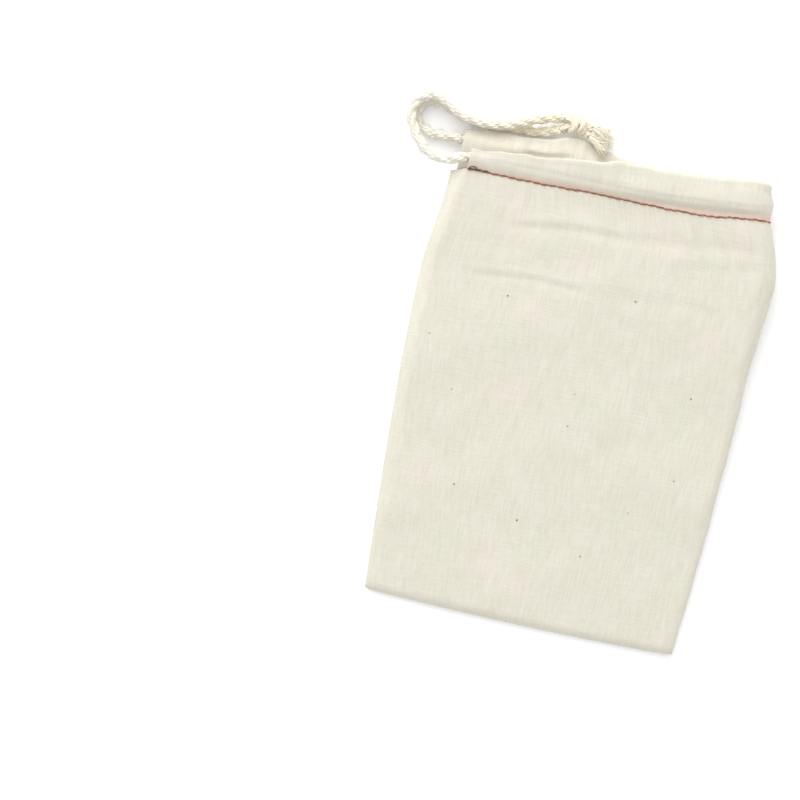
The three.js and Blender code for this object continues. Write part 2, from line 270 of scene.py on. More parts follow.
def tube_parts(points, radius, sides):
    """Vertices, faces and uv places of a closed tube along a line. radius may change along it."""
    points = np.asarray(points, float)
    count = len(points)
    side, up = line_frames(points)
    turn = np.arange(sides) * 2 * math.pi / sides
    radius = np.broadcast_to(radius, count)[:, None, None]
    ring = side[:, None] * np.cos(turn)[None, :, None] + up[:, None] * np.sin(turn)[None, :, None]
    vertices = (points[:, None] + ring * radius).reshape(-1, 3)
    i, j = np.meshgrid(np.arange(count - 1), np.arange(sides), indexing="ij")
    a = (i * sides + j).ravel()
    b = (i * sides + (j + 1) % sides).ravel()
    faces = np.stack([a, b, b + sides, a + sides], axis=1)
    length = np.concatenate([[0], np.cumsum(np.linalg.norm(np.diff(points, axis=0), axis=1))])
    uv = np.stack(np.broadcast_arrays(length[:, None], np.arange(sides)[None] / sides), axis=-1)
    ends = [list(range(sides - 1, -1, -1)), list(range((count - 1) * sides, count * sides))]
    return vertices, faces.tolist() + ends, uv.reshape(-1, 2)


def make_tubes(name, lines, radii, sides):
    """One object of several closed tubes."""
    vertices, faces, uv, offset = [], [], [], 0
    for points, radius in zip(lines, radii):
        v, f, t = tube_parts(points, radius, sides)
        vertices.append(v)
        uv.append(t)
        faces += [[k + offset for k in face] for face in f]
        offset += len(v)
    return make_mesh(name, np.concatenate(vertices), faces, np.concatenate(uv))


def join_to(obj, other):
    """Adds the other object's mesh to obj's, and removes the other."""
    with bpy.context.temp_override(active_object=obj, selected_editable_objects=[obj, other]):
        bpy.ops.object.join()
    return obj


# ---- node helpers ----

class Shader:
    """A material's nodes, made and linked by short calls."""

    def __init__(self, name):
        self.material = bpy.data.materials.new(name)
        self.material.use_nodes = True
        self.tree = self.material.node_tree
        self.surface = self.tree.nodes["Principled BSDF"]

    def node(self, kind, **inputs):
        made = self.tree.nodes.new(kind)
        for key, value in inputs.items():
            self.put(made.inputs[key.replace("_", " ")], value)
        return made

    def put(self, socket, value):
        if isinstance(value, bpy.types.NodeSocket):
            self.tree.links.new(value, socket)
        else:
            socket.default_value = value

    def math(self, operation, a, b=0.0):
        made = self.tree.nodes.new("ShaderNodeMath")
        made.operation = operation
        self.put(made.inputs[0], a)
        self.put(made.inputs[1], b)
        return made.outputs[0]

    def split(self, vector):
        return self.node("ShaderNodeSeparateXYZ", Vector=vector).outputs

    def flat_cloth(self):
        """The place on the cloth before it was sewn, or along and round a thread."""
        uv = self.node("ShaderNodeUVMap")
        uv.uv_map = "flat_cloth"
        return uv

    def join(self, x, y):
        return self.node("ShaderNodeCombineXYZ", X=x, Y=y).outputs[0]

    def noise(self, vector, scale, detail=2.0, roughness=0.5):
        made = self.node("ShaderNodeTexNoise", Vector=vector, Scale=scale, Detail=detail, Roughness=roughness)
        return made.outputs["Fac"]

    def streaks(self, u, v, across, along):
        """Noise drawn out one way: across and along are its cells for each millimetre."""
        stretched = self.join(self.math("MULTIPLY", u, across), self.math("MULTIPLY", v, along))
        return self.noise(stretched, 1.0, 2.0)

    def ramp(self, value, low, high, start=0.0, end=1.0):
        """Goes from start to end while value goes from low to high."""
        made = self.node("ShaderNodeMapRange", Value=value)
        for key, number in (("From Min", low), ("From Max", high), ("To Min", start), ("To Max", end)):
            made.inputs[key].default_value = number
        return made.outputs["Result"]

    def blend(self, share, a, b):
        """Colour a where share is 0, and colour b where it is 1."""
        made = self.tree.nodes.new("ShaderNodeMix")
        made.data_type = "RGBA"
        self.put(made.inputs["Factor"], share)
        for socket, value in ((made.inputs[6], a), (made.inputs[7], b)):
            self.put(socket, value)
        return made.outputs[2]

    def finish(self, color, height=None, depth=0.0001, strength=1.0, roughness=0.92, sheen=0.1):
        """Sets the surface. height is its fine relief, and depth the relief's size in metres."""
        self.put(self.surface.inputs["Base Color"], color)
        self.surface.inputs["Roughness"].default_value = roughness
        self.surface.inputs["Specular IOR Level"].default_value = 0.2
        self.surface.inputs["Sheen Weight"].default_value = sheen
        self.surface.inputs["Sheen Roughness"].default_value = 0.6
        if height is not None:
            bump = self.node("ShaderNodeBump", Height=height, Distance=depth, Strength=strength)
            self.put(self.surface.inputs["Normal"], bump.outputs[0])
        return self.material


def srgb(red, green, blue):
    """A colour written as 0 to 255 on a screen, as the shader's numbers."""
    parts = [c / 255 for c in (red, green, blue)]
    return tuple(c / 12.92 if c <= 0.04045 else ((c + 0.055) / 1.055) ** 2.4 for c in parts) + (1.0,)


THREADS_PER_MM = 2.3


def muslin(name, light, dark):
    """Plain-woven unbleached cotton: warp and weft threads with slubs, gaps and mottling."""
    shader = Shader(name)
    uv = shader.flat_cloth()
    flat = uv.outputs[0]
    u, v, _ = shader.split(flat)
    warp_slubs = shader.streaks(u, v, 1.5, 0.16)
    weft_slubs = shader.streaks(u, v, 0.14, 2.1)
    broad_streaks = shader.streaks(u, v, 0.55, 0.05)
    wander = shader.math("MULTIPLY", shader.noise(flat, 0.5, 2.0), 9.0)
    turn = 2 * math.pi * THREADS_PER_MM / 2
    across = shader.math("SINE", shader.math("ADD", shader.math("MULTIPLY", u, turn), wander))
    along = shader.math("SINE", shader.math("ADD", shader.math("MULTIPLY", v, turn), wander))
    weave = shader.math("MULTIPLY", across, along)
    cloud = shader.noise(flat, 0.07, 3.0, 0.6)
    fine_cloud = shader.noise(flat, 0.6, 3.0, 0.6)
    color = shader.blend(shader.ramp(cloud, 0.35, 0.65), light, dark)
    warp_share = shader.math("MULTIPLY", warp_slubs, 0.6)
    slubs = shader.math("ADD", warp_share, shader.math("MULTIPLY", weft_slubs, 0.4))
    color = shader.blend(shader.ramp(slubs, 0.42, 0.62, 0.0, 0.28), color, srgb(246, 243, 234))
    color = shader.blend(shader.ramp(slubs, 0.34, 0.48, 0.12, 0.0), color, srgb(196, 188, 166))
    color = shader.blend(shader.ramp(broad_streaks, 0.35, 0.65, 0.0, 0.10), color, srgb(207, 201, 182))
    color = shader.blend(shader.ramp(weave, -0.9, 0.2, 0.045, 0.0), color, srgb(190, 181, 158))
    color = shader.blend(shader.ramp(fine_cloud, 0.35, 0.65, 0.0, 0.12), color, srgb(212, 206, 186))
    tint = shader.node("ShaderNodeAttribute")
    tint.attribute_name = "by_the_stitches"
    color = shader.blend(shader.math("MULTIPLY", tint.outputs["Fac"], 0.45), color, srgb(226, 186, 166))
    height = shader.math("ADD", shader.math("MULTIPLY", weave, 0.09), shader.math("MULTIPLY", slubs, 1.8))
    return shader.finish(color, height, depth=0.00009)


def twisted_cotton(name, light, dark, groove_shade, groove=0.3, turns=5, pitch=0.55, depth=0.00012, faded=None):
    """Yarn with its fibres running round it at a slant, and painted shade in the grooves between them.

    faded is a second colour, with the places across the bag where it starts and where it is full.
    """
    shader = Shader(name)
    uv = shader.flat_cloth()
    along, around, _ = shader.split(uv.outputs[0])
    phase = shader.math("ADD", shader.math("MULTIPLY", around, 2 * math.pi * turns),
                        shader.math("MULTIPLY", along, 2 * math.pi * pitch))
    fibres = shader.math("SINE", phase)
    place = shader.node("ShaderNodeTexCoord").outputs["Object"]
    cloud = shader.noise(place, 260.0, 3.0)
    fine = shader.noise(place, 1500.0, 2.0)
    color = shader.blend(shader.ramp(cloud, 0.35, 0.65), light, dark)
    # Painted shade: the colour goes towards the third colour in the grooves between the fibres, by up to
    # groove.
    color = shader.blend(shader.ramp(fibres, -1.0, 0.4, groove, 0.0), color, groove_shade)
    color = shader.blend(shader.ramp(fine, 0.4, 0.7, 0.0, 0.35), color, srgb(250, 247, 236))
    if faded:
        other_color, start, full = faded
        color = shader.blend(shader.ramp(shader.split(place)[0], start, full, 0.0, 0.8), color, other_color)
    height = shader.math("ADD", fibres, shader.math("MULTIPLY", fine, 1.5))
    return shader.finish(color, height, depth=depth, strength=0.8, sheen=0.25)


def plain_fibre(name, light, dark, scale=900.0):
    """Fine fibre or thread, too thin to show its twist."""
    shader = Shader(name)
    place = shader.node("ShaderNodeTexCoord").outputs["Object"]
    mottle = shader.noise(place, scale, 2.0)
    color = shader.blend(shader.ramp(mottle, 0.35, 0.65), light, dark)
    return shader.finish(color, mottle, depth=0.00005, strength=0.5, roughness=0.9, sheen=0.2)


MUSLIN = muslin("natural_muslin", srgb(228, 222, 208), srgb(223, 221, 204))
SEAM_MUSLIN = muslin("muslin_seam_allowance", srgb(221, 214, 199), srgb(216, 210, 195))
# The cord's third colour is painted shade for the grooves between its fibres.
CORD = twisted_cotton("cotton_cord", srgb(252, 249, 239), srgb(249, 243, 228), srgb(232, 220, 194),
                      groove=0.2, faded=(srgb(251, 241, 216), -0.052, -0.028))
FRAYED_CORD = plain_fibre("frayed_cotton", srgb(250, 246, 233), srgb(238, 229, 204))
# The red thread's third colour is painted shade for the grooves between its fibres.
RED_THREAD = twisted_cotton("red_thread", srgb(178, 70, 56), srgb(148, 52, 42), srgb(96, 30, 26),
                            groove=0.5, turns=2, pitch=1.6, depth=0.00004,
                            faded=(srgb(152, 98, 76), 0.036, 0.012))
DARK_THREAD = plain_fibre("backstitch_thread", srgb(118, 92, 64), srgb(92, 82, 58))
NATURAL_THREAD = plain_fibre("natural_thread", srgb(240, 236, 222), srgb(226, 220, 202))
HUSK = plain_fibre("seed_husk", srgb(176, 156, 118), srgb(140, 120, 86), scale=2500.0)


def dress(obj, material):
    """Gives a piece its material."""
    obj.data.materials.clear()
    obj.data.materials.append(material)
    return obj


# ---- camera ----

def add_camera():
    """Looks straight down from above the bag, turned as the bag lies in the view."""
    data = bpy.data.cameras.new("camera")
    data.lens = 172.5
    data.sensor_width = 36.0
    camera = bpy.data.objects.new("camera", data)
    bpy.context.scene.collection.objects.link(camera)
    camera.location = (-0.05095, -0.0158, 1.2)
    camera.rotation_euler = (0, 0, math.radians(12.36))
    bpy.context.scene.camera = camera


add_camera()


# ---- the hem's path ----

def hem_place(s, y, out):
    """A place in the hem.

    s runs along it from the middle of the fold, positive to the front. y is the height up the bag,
    and out the distance from the middle of the hem's thickness towards its outside.
    """
    angle = np.clip(s / FOLD_RADIUS, -math.pi / 2, math.pi / 2)
    straight = np.maximum(np.abs(s) - QUARTER_TURN, 0)
    radius = FOLD_RADIUS + out
    x = FOLD_X + radius * np.cos(angle) - straight
    return np.stack(np.broadcast_arrays(x, y, FOLD_Z + radius * np.sin(angle)), axis=-1)


def hem_x(s):
    """How far across the bag the middle of the hem is at s."""
    return hem_place(s, 0.0, 0.0)[..., 0]


def s_at(x, side):
    """Distance along the hem of a place on its straight part; side is 1 at the front and -1 behind."""
    return side * (QUARTER_TURN + FOLD_X - x)


def stitch_y(s):
    return value_at(STITCH_LINE, hem_x(s))


def top_y(s):
    x = hem_x(s)
    front = value_at(FRONT_TOP, x) + 0.22 * ripple(x, 0 * x, 7.5, 3) * smooth((34 - x) / 20)
    back = value_at(BACK_TOP, x) + 0.15 * ripple(x, 0 * x, 9.0, 4) * smooth((20 - x) / 20)
    return np.where(s > 0, front, back)


def cord_y(s):
    """Height of the cord inside the hem."""
    front = value_at(CORD_LINE, np.minimum(hem_x(s), FOLD_X))
    turn = smooth((s / QUARTER_TURN + 1) / 2)
    return np.where(s > QUARTER_TURN, front, BACK_RUN[1] + (CORD_LINE[-1][1] - BACK_RUN[1]) * turn)


# ---- the cord ----

def catmull_rom(points, step):
    """Smooth line through the points, with places about step apart."""
    given = np.array(points, float)
    padded = np.concatenate([[2 * given[0] - given[1]], given, [2 * given[-1] - given[-2]]])
    line = []
    for p0, p1, p2, p3 in zip(padded, padded[1:], padded[2:], padded[3:]):
        before, span, after = (math.sqrt(np.linalg.norm(q - p)) for p, q in ((p0, p1), (p1, p2), (p2, p3)))
        leave = ((p1 - p0) / before - (p2 - p0) / (before + span)) * span + p2 - p1
        arrive = ((p3 - p2) / after - (p3 - p1) / (span + after)) * span + p2 - p1
        count = max(2, math.ceil(np.linalg.norm(p2 - p1) / step))
        t = np.linspace(0, 1, count, endpoint=False)[:, None]
        line.append((1 + 2 * t) * (1 - t) ** 2 * p1 + t * (1 - t) ** 2 * leave
                    + t * t * (3 - 2 * t) * p2 + t * t * (t - 1) * arrive)
    return np.concatenate(line + [given[-1:]])


def length_of(line):
    return float(np.linalg.norm(np.diff(line, axis=0), axis=1).sum())


def even(line, step):
    """The same line with its points a step apart."""
    along = np.concatenate([[0], np.cumsum(np.linalg.norm(np.diff(line, axis=0), axis=1))])
    at = np.linspace(0, along[-1], math.ceil(along[-1] / step) + 1)
    return np.stack([np.interp(at, along, line[:, k]) for k in range(3)], axis=1)


ROPE_STEP = 0.34
PLY_RADIUS = 0.90               # of each of the three plies
PLY_OFFSET = 0.72               # of a ply's middle from the cord's


def plies(line, phase=0.0, squeeze=1.0):
    """Middle lines of the three plies that are laid round a line."""
    side, up = line_frames(line)
    along = np.concatenate([[0], np.cumsum(np.linalg.norm(np.diff(line, axis=0), axis=1))])
    made = []
    for k in range(3):
        turn = 2 * math.pi * (along / CORD_LAY + k / 3) + phase
        offset = side * np.cos(turn)[:, None] + up * np.sin(turn)[:, None]
        made.append(line + offset * PLY_OFFSET * squeeze)
    return made


def ply_radius(count, seed):
    """A ply's radius along it: a little uneven, as hand-spun yarn is."""
    at = np.arange(count) * ROPE_STEP
    return PLY_RADIUS * (1 + 0.06 * ripple(at, 0 * at, 6.0, seed) + 0.03 * ripple(at, 0 * at, 1.8, seed + 9))


def hairs(name, roots, outwards, length, thickness, seed):
    """Loose fibres: thin bent needles that start at the roots and lean outwards."""
    rng = np.random.default_rng(seed)
    lines, radii = [], []
    steps = np.linspace(0, 1, 5)[:, None]
    for root, out in zip(roots, outwards):
        lean = out + rng.normal(0, 0.75, 3)
        lean /= np.linalg.norm(lean)
        curl = rng.uniform(-0.6, 0.6, 3)
        reach = length * rng.uniform(0.45, 1.0)
        line = root + lean * reach * steps + curl * reach * steps ** 2
        line[:, 2] = np.maximum(line[:, 2], 0.08)
        lines.append(line)
        radii.append(thickness * (1 - 0.6 * steps[:, 0]))
    return make_tubes(name, lines, radii, 3)


front_tail_line = even(catmull_rom(FRONT_TAIL, 0.3), ROPE_STEP)
back_tail_line = even(catmull_rom(BACK_TAIL, 0.3), ROPE_STEP)


def whole_cord():
    """The cord's middle line: from the knot through the hem and back to the knot, its corners eased."""
    hem_s = np.linspace(s_at(FRONT_HEM_LEFT, 1), s_at(BACK_HEM_LEFT, -1), 640)
    hem_line = hem_place(hem_s, cord_y(hem_s), 0.0)
    line = even(np.concatenate([front_tail_line[::-1], hem_line[1:-1], back_tail_line]), ROPE_STEP)
    window = np.ones(7) / 7
    eased = np.stack([np.convolve(line[:, k], window, "same") for k in range(3)], axis=1)
    line[4:-4] = eased[4:-4]
    return line


whole_line = whole_cord()
PLY_LINES = plies(whole_line)
FRONT_COUNT = int(length_of(front_tail_line) / ROPE_STEP)
BACK_COUNT = int(length_of(back_tail_line) / ROPE_STEP)
COUNT = len(whole_line)


def rope_piece(name, first, last):
    """The part of the cord between two of its points, as three plies."""
    part = slice(first, last)
    radii = [ply_radius(COUNT, 20 + k)[part] for k in range(3)]
    return make_tubes(name, [line[part] for line in PLY_LINES], radii, 9)


def fuzz_on(name, first, last, count, seed):
    """Loose fibres on a stretch of the cord."""
    rng = np.random.default_rng(seed)
    at = rng.integers(first, last, count)
    ply = rng.integers(0, 3, count)
    middle = whole_line[at]
    on_ply = np.array([PLY_LINES[k][i] for k, i in zip(ply, at)])
    out = (on_ply - middle) / PLY_OFFSET
    return hairs(name, on_ply + out * PLY_RADIUS * 0.85, out, 1.25, 0.032, seed + 1)


def add_free_cord(name, first, last, seed):
    cord = rope_piece(name, first, last)
    return join_to(cord, fuzz_on(name + "_fuzz", first, last - 4, 900, seed))


front_cord = dress(add_free_cord("cord_front_tail", 0, FRONT_COUNT + 1, 41), CORD)
back_cord = dress(add_free_cord("cord_back_tail", COUNT - BACK_COUNT - 1, COUNT, 43), CORD)
hem_cord = dress(rope_piece("cord_in_hem", FRONT_COUNT, COUNT - BACK_COUNT), CORD)
for piece, nodes in ((front_cord, ["drawstring_front_tail"]), (back_cord, ["drawstring_back_tail"]),
                     (hem_cord, ["drawstring_front_run", "drawstring_bight", "drawstring_back_run"])):
    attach(piece, "drawstring")
    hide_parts(*nodes)


# ---- the hem ----

FOLD_BULGE = 2.15               # how far the cloth stands out where it turns round the right-hand side
FOLD_TOP = 0.5                  # the same at its top
CREST = 0.85                    # half the thickness of the hem just under its top fold, at the left
CREST_ROUND = 1.5               # reach of the top fold's rounding
PLATEAU = 0.55                  # how much fuller than the cord the upper part is, towards the right
FRONT_SLOPE = 0.95              # the front's upper part leans outwards at the left, over the cord's tails
MOST_TILT = 4.6                 # and by no more than this
FLAP = 1.8                      # the turned-in raw edge, below the stitches inside
# Steps in the back hem: place, height, and how far to the left each lasts.
PLEATS = [(-29.0, 0.9, 9), (-10.75, 0.6, 6)]


def front_tilt(s, x, above):
    """How far the front's upper part leans outwards, at this distance above the cord."""
    leaning = (1 - smooth((x + 14) / 34)) * (s > 0)
    return MOST_TILT * (1 - np.exp(-FRONT_SLOPE * above ** 2 / (above + 0.6) / MOST_TILT)) * leaning


def back_tucks(s, x, y):
    """Steps in the back hem, and the hollow in it just above the front hem."""
    steps = sum(height * smooth((at - x) / 0.7) * np.exp(-np.maximum(at - x, 0) / reach)
                for at, height, reach in PLEATS)
    steps = steps * smooth((y - stitch_y(s) - 6) / 3)
    gap_line = value_at(FRONT_TOP, x) + 0.9
    hollow = 1.1 * hump((y - gap_line) / 0.8) * smooth((x + 29.3) / 1.5) * smooth((-12 - x) / 5)
    return (steps - hollow) * (s < 0)


def hem_heights(s, y):
    """How far the hem's two faces stand from its middle, at s along it and at height y."""
    low, cord, top = stitch_y(s), cord_y(s), top_y(s)
    x = hem_x(s)
    below = np.clip((y - low) / (cord - low), 0, 1)
    above = np.maximum(y - cord, 0)
    spare = top - cord
    right = smooth((x + 2) / 20) * (s > 0)
    around = 1 - smooth(np.abs(s) / (1.3 * QUARTER_TURN))
    soft = smooth((y - low) / 2)

    # The outer face rises from the stitches over the cord. It rises later towards the right.
    plump = PINCH + (COVER - PINCH) * (1 - (1 - below) ** 2.2) ** 0.75
    straight = PINCH + (COVER - PINCH) * (1 - (1 - below) ** 1.7)
    gentle = PINCH + (COVER - PINCH) * (0.22 * below + 0.78 * smooth((below - 0.35) / 0.65))
    thinning = (COVER - CREST) * smooth(above / spare * 1.15)
    left_face = np.where(s > 0, straight, plump) - thinning
    right_face = gentle + PLATEAU * smooth(above / 1.6) - 0.3 * smooth((above - 3.5) / (spare - 3.5))
    drape = 0.10 * ripple(x, y, 11.0, 6, (1, 0.6)) * soft
    pleats = 0.09 * ripple(x, 0 * x, 4.5, 7) * smooth((y - low) / 2.5) * (1 - 0.6 * right)
    outside = left_face * (1 - right) + right_face * right + drape + pleats
    bulge = FOLD_BULGE + (FOLD_TOP - FOLD_BULGE) * smooth((y - cord - 1.2) / 5)
    outside = outside * (1 - around) + bulge * around

    # The inner face is fuller and wavier.
    waves = 0.16 * ripple(x, y, 9.0, 8, (1.3, 0.8)) + 0.10 * ripple(x, 0 * x, 5.0, 9)
    inside = plump - thinning + waves * soft + back_tucks(s, x, y)

    # Both close over the top fold and lean together, and behind the outer one stays off the floor.
    rounding = CREST_ROUND - 0.3 * around
    crest = np.sqrt(1 - np.clip((y - (top - rounding)) / rounding, 0, 1) ** 2)
    tilt = front_tilt(s, x, above)
    outside = tilt + outside * crest
    inside = np.maximum(inside, PINCH) * crest - tilt
    turn = np.sin(np.clip(s / FOLD_RADIUS, -math.pi / 2, math.pi / 2))
    to_floor = (FOLD_Z - FLOOR_GAP) / np.maximum(-turn, 0.05) - FOLD_RADIUS
    return np.minimum(outside, to_floor), inside


def pinch_at(s):
    """Height of the outer face at the stitches."""
    return hem_heights(s, stitch_y(s) + 1e-6)[0]


HEM_COLUMNS = 250
FACE_ROWS = 34
front_end, back_end = s_at(FRONT_HEM_LEFT, 1), s_at(BACK_HEM_LEFT, -1)
HEM_S = np.linspace(back_end, front_end, HEM_COLUMNS)


def hem_section_rows():
    """Share of the hem's height at each row of one face, closer together near the stitches and the fold."""
    t = np.linspace(0, 1, FACE_ROWS)
    return (1 - np.cos(math.pi * t)) / 2


STAIN_WIDTH = 2.0               # the red thread has tinted the cloth this far from it


def build_hem():
    """The cloth of the channel: up its outer face, over the top fold, down inside and under the stitches."""
    shares = hem_section_rows()
    s = HEM_S[:, None]
    low, top = stitch_y(s), top_y(s)
    y_up = low + (top - low) * shares[None]
    outside, inside = hem_heights(s, y_up)
    up = hem_place(s, y_up, outside)
    down = hem_place(s, y_up, -inside)[:, -2::-1]
    flap_share = np.linspace(0.25, 1, 4)[None]
    flap = hem_place(s, low - FLAP * flap_share, -PINCH - 0.05 * flap_share)
    grid = np.concatenate([up, down, flap], axis=1)
    down_length = np.concatenate([np.zeros((HEM_COLUMNS, 1)),
                                  np.cumsum(np.linalg.norm(np.diff(grid, axis=1), axis=2), axis=1)], axis=1)
    uv = np.stack([np.broadcast_to(s, down_length.shape), stitch_y(s) + down_length], axis=-1)
    made = sheet_of_cloth("bag_hem", grid[::-1], uv[::-1])
    near = hump(down_length / STAIN_WIDTH)[::-1]
    set_values(made, "by_the_stitches", [near, near])
    return made


# ---- the body ----

MARGIN_COLUMNS = 9
PANEL_LEFT = -50.9              # the panels' left seam beside the hem
BODY_ROWS = 150
SEAM_HEIGHT = 0.55              # where the two panels meet along the left side and the bottom
SEAM_LIFT = 6.4                 # how much higher they meet beside the hem
SEAM_GROOVE = 0.06
SLACK = 0.62                    # how much the front sags between the bottom and the hem
LEAST_HEIGHT = 2.6              # of the front over the bottom seam's allowance
SIDE_ROUND = 3.4                # reach of the right-hand fold's rounding at the bottom
MOST_LEAN = 1.9                 # how far the body lies to the right just below the hem
LEAN_HEIGHT = 46.0              # where it does so most
LEAN_REACH = 16.0


def half_width(y):
    return value_at(HALF_WIDTHS, y - BAG_BOTTOM)


def lean(y):
    """How far the body lies to the right: it bends a little below the hem."""
    return MOST_LEAN * hump((y - LEAN_HEIGHT) / LEAN_REACH)


def bottom_edge(x):
    share = np.abs(x) / half_width(np.full_like(x, BAG_BOTTOM))
    return BAG_BOTTOM + BOTTOM_BOW * share ** 2 + CORNER_CUT * smooth((share - 0.945) / 0.055) ** 2


def wrinkles(x, y, layer):
    """Unevenness of a panel, out of its plane."""
    near_hem = np.exp(-np.maximum(STITCH_HEIGHT - y, 0) / 13)
    broad = 0.34 * ripple(x, y, 42, 11 + layer) + 0.13 * ripple(x, y, 15, 13 + layer, (1, 1.6))
    fine = 0.035 * ripple(x, y, 4.2, 15 + layer, (1, 2.2)) + 0.02 * ripple(x, y, 2.2, 16 + layer)
    gathers = 0.20 * near_hem * ripple(x, y * 0.12, 6.0, 17 + layer) * smooth((STITCH_HEIGHT - y) / 3)
    return broad + fine + gathers


def body_columns():
    """Distance along the cloth of each column: from the left seam behind, round the fold, to it in front."""
    behind = np.linspace(s_at(PANEL_LEFT, -1), back_end, MARGIN_COLUMNS, endpoint=False)
    before = np.linspace(s_at(PANEL_LEFT, 1), front_end, MARGIN_COLUMNS * 2, endpoint=False)[::-1]
    return np.concatenate([behind, HEM_S, before])


def build_body():
    """Front and back panels: one cloth folded round the right-hand side."""
    s = body_columns()[:, None]
    front = s > 0
    rows = np.linspace(0, 1, BODY_ROWS)[None]
    v = 0.55 * rows + 0.45 * (1 - np.cos(math.pi * rows)) / 2
    line = stitch_y(s)
    y = BAG_BOTTOM + v * (line - BAG_BOTTOM)
    width = half_width(y)
    angle = np.clip(s / FOLD_RADIUS, -math.pi / 2, math.pi / 2)
    length = np.clip((y - BAG_BOTTOM) / (STITCH_HEIGHT - BAG_BOTTOM), 0, 1)
    round_x = SIDE_ROUND + (FOLD_RADIUS + FOLD_BULGE - SIDE_ROUND) * smooth((length - 0.55) / 0.45)
    straight = np.maximum(np.abs(s) - QUARTER_TURN, 0)
    reach = np.where(front, s[-1, 0], -s[0, 0]) - QUARTER_TURN
    x = width - round_x + round_x * np.cos(angle) - straight / reach * (2 * width - round_x)
    x = x + 0.22 * ripple(y, 0 * y, 13.0, 31) * (1 - np.abs(np.sin(angle))) * smooth((1 - v) * 8)
    y = y + (bottom_edge(x) - BAG_BOTTOM) * (1 - v)

    hem_top = FOLD_Z + FOLD_RADIUS + PINCH
    sag = SLACK * length ** 2 + (1 - SLACK) * length
    seam = SEAM_HEIGHT + SEAM_LIFT * smooth((length - 0.74) / 0.26)
    high = LEAST_HEIGHT + (hem_top - LEAST_HEIGHT) * sag
    low = FLOOR_GAP + (FOLD_Z - FOLD_RADIUS - PINCH - FLOOR_GAP) * smooth((length - 0.93) / 0.07)
    from_bottom = shoulder((y - bottom_edge(x)) / 3.0)
    high = seam + (high - seam) * from_bottom
    low = seam + (low - seam) * from_bottom
    middle, half = (high + low) / 2, (high - low) / 2
    z = middle + half * np.sin(angle)
    from_left = shoulder((x + width) / np.where(front, 4.6, 3.6))
    z = seam + (z - seam) * from_left
    flat = from_left * from_bottom * (1 - np.cos(angle)) * smooth((1 - v) * 30)
    bumps = np.where(front, wrinkles(x, y, 0) + crease_depth(x, y), 0.25 * np.abs(wrinkles(x, y, 1)))
    z = z + bumps * flat
    z = z + np.where(front, SEAM_GROOVE, -SEAM_GROOVE) * (1 - from_left * from_bottom)
    body = np.stack([x + lean(y), y, z], axis=-1)

    hem_row = hem_place(s, line, pinch_at(np.clip(s, back_end, front_end)))
    beyond = np.where(front, s - front_end, back_end - s)
    margin = smooth(beyond / (hem_x(np.array(front_end)) - PANEL_LEFT))
    seam_z = seam[:, -1:] + np.where(front, 0.06, -0.06)
    hem_row[..., 2] = hem_row[..., 2] + (seam_z - hem_row[..., 2]) * margin
    share = smooth((v - 0.935) / 0.065)[..., None]
    body = body + (hem_row - body) * share
    uv = np.stack([np.broadcast_to(s, y.shape), np.broadcast_to(y, y.shape)], axis=-1)
    made = sheet_of_cloth("bag_body", body[::-1], uv[::-1])
    near = (hump((line - y) / STAIN_WIDTH) * (1 - margin))[::-1]
    set_values(made, "by_the_stitches", [near, near])
    return made, body


hem = dress(build_hem(), MUSLIN)
body, body_surface = build_body()
dress(body, MUSLIN)


# ---- sewing ----

STITCH_LENGTH = 2.6
THREAD_RADIUS = 0.28
THREAD_STEP = 0.16              # between the points of a thread's line
ALLOWANCE_INSET = 2.5           # from the bag's edge to the allowance's outer edge
ALLOWANCE_WIDTH = 5.5


def lockstitches(name, first, last, face, seed):
    """One line of stitches along the hem: the thread shows, then dips into its hole.

    face is 1 on the outside of the hem and -1 on its inside.
    """
    count = int(abs(last - first) / THREAD_STEP)
    s = np.linspace(first, last, count)
    share = np.mod(s / STITCH_LENGTH + 0.03 * ripple(s, 0 * s, 20.0, seed), 1.0)
    arch = np.sqrt(np.abs(np.sin(math.pi * share)))
    lean = 0.10 * np.cos(math.pi * share) + 0.10 * ripple(s, 0 * s, 7.0, seed + 1)
    y = stitch_y(s) + lean
    cloth = pinch_at(s) if face > 0 else PINCH
    out = face * (cloth + 0.30 * arch - 0.14)
    line = hem_place(s, y, out)
    return make_tubes(name, [line], [THREAD_RADIUS * (0.72 + 0.28 * arch)], 7)


def backstitches():
    """A few short stitches on top of each other, where the sewing starts at the left."""
    rng = np.random.default_rng(61)
    lines = []
    for k in range(7):
        start = front_end - 0.5 - 0.75 * k
        s = np.linspace(start, start - 1.9, 12)
        share = np.linspace(0, 1, 12)
        y = stitch_y(s) + 0.05 + rng.uniform(-0.45, 0.35) * share + 0.12 * math.cos(k * 2.1)
        lines.append(hem_place(s, y, PINCH + 0.06 + 0.34 * np.sin(math.pi * share)))
    s = np.linspace(front_end - 0.2, front_end - 3.4, 16)
    bend = np.linspace(0, 1, 16)
    y = stitch_y(s) + 0.9 * np.sin(math.pi * bend)
    lines.append(hem_place(s, y, PINCH + 0.4 + 0.5 * np.sin(2.4 * bend)))
    return make_tubes("hem_backstitches", lines, [0.17] * len(lines), 6)


def allowance(name, inner_edge, outer_edge):
    """Two layers of cloth between two lines of points, lying on each other."""
    layers = []
    for k, (low, seed) in enumerate(((0.0, 71), (CLOTH, 73))):
        share = np.linspace(0, 1, 8)[None, :, None]
        grid = inner_edge[:, None] * (1 - share) + outer_edge[:, None] * share
        grid[..., 2] += low + CLOTH - 0.03 + 0.03 * ripple(grid[..., 0], grid[..., 1], 6.0, seed)
        uv = grid[..., :2].copy()
        if grid_normals(grid)[2, 2, 2] < 0:
            grid, uv = grid[:, ::-1], uv[:, ::-1]
        layers.append(sheet_of_cloth(f"{name}_{k}", grid, uv, CLOTH - 0.07))
    joined = join_to(layers[0], layers[1])
    joined.name = name
    return joined


